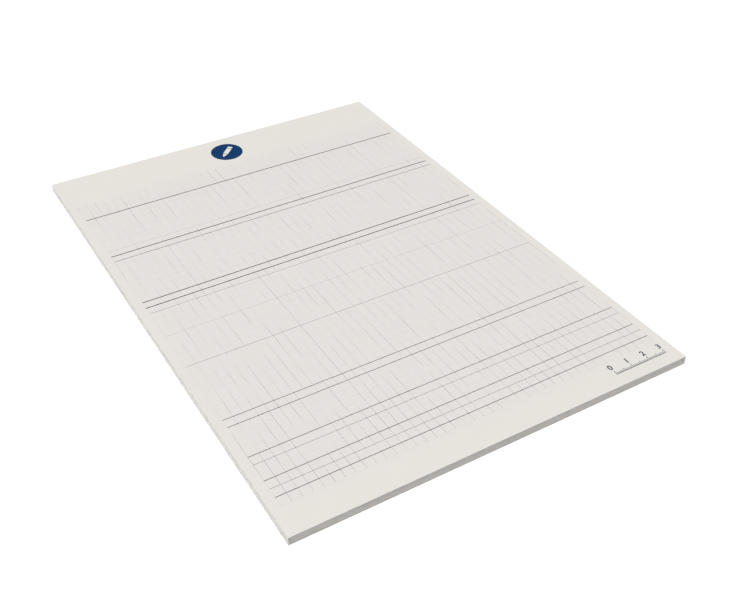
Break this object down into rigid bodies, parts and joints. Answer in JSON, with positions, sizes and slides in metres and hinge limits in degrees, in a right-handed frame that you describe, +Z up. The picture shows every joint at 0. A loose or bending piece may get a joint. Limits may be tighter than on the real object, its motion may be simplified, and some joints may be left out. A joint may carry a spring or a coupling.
{
  "type": "legal pad",
  "caption": "A4 head-glued writing pad with a 5 mm squared ruling, a grey backing board and a plain printed roundel at the head.",
  "frame": {"origin": "middle of the underside, where the pad rests on the table", "axes": "+Z up through the leaves, +Y along the pad towards its glued head, +X across it to the reader's right"},
  "size_m": [0.21, 0.2974, 0.0045],
  "materials": {
    "paper": "matte",
    "grey_board": "matte",
    "padding_adhesive": "satin",
    "pale_grey_ink": "matte",
    "grey_ink": "matte",
    "navy_ink": "matte",
    "slate_ink": "matte"
  },
  "bodies": {
    "root": {"sheet_stack": "paper", "backing_board": "grey_board", "head_glue": "padding_adhesive", "column_rules": "pale_grey_ink", "faint_row_rules": "pale_grey_ink", "row_rules": "grey_ink", "head_roundel": "navy_ink", "foot_scale": "slate_ink"}
  },
  "joints": []
}
